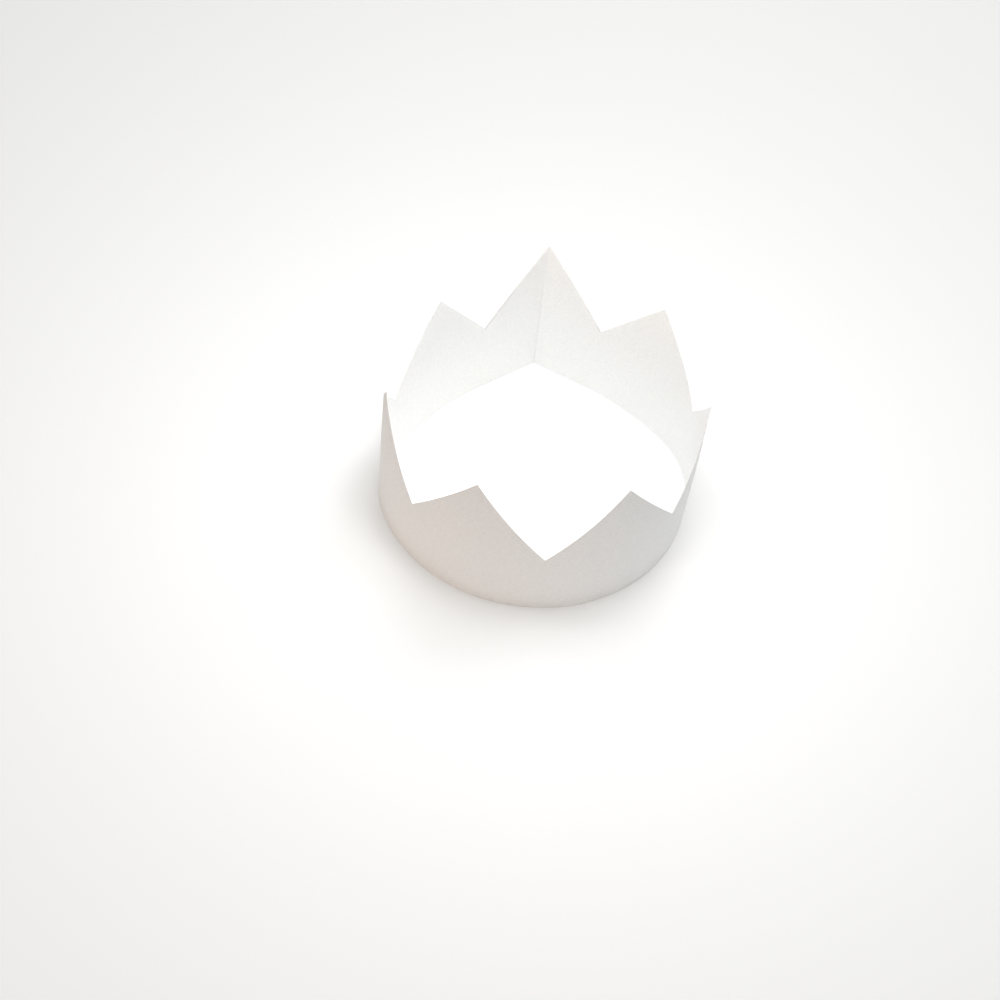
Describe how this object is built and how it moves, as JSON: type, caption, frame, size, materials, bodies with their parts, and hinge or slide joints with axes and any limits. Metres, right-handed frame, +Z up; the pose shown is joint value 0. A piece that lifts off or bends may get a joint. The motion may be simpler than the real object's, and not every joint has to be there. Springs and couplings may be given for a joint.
{
  "type": "paper crown",
  "caption": "Party crown of plain white card: a strip with a zigzag top edge, bent into a standing ring and closed at the back by interlocking slits.",
  "frame": {"origin": "on the table, under the middle of the ring's box, at the height of the straight base edge", "axes": "+Z up from the base edge to the tips, +Y towards the corner at the back where the strip's ends hook together, -Y the smooth front"},
  "size_m": [0.1874, 0.1917, 0.1],
  "materials": {
    "white_card": "uncoated, matt, plain white"
  },
  "bodies": {
    "root": {"crown_band": "white_card"}
  },
  "joints": []
}
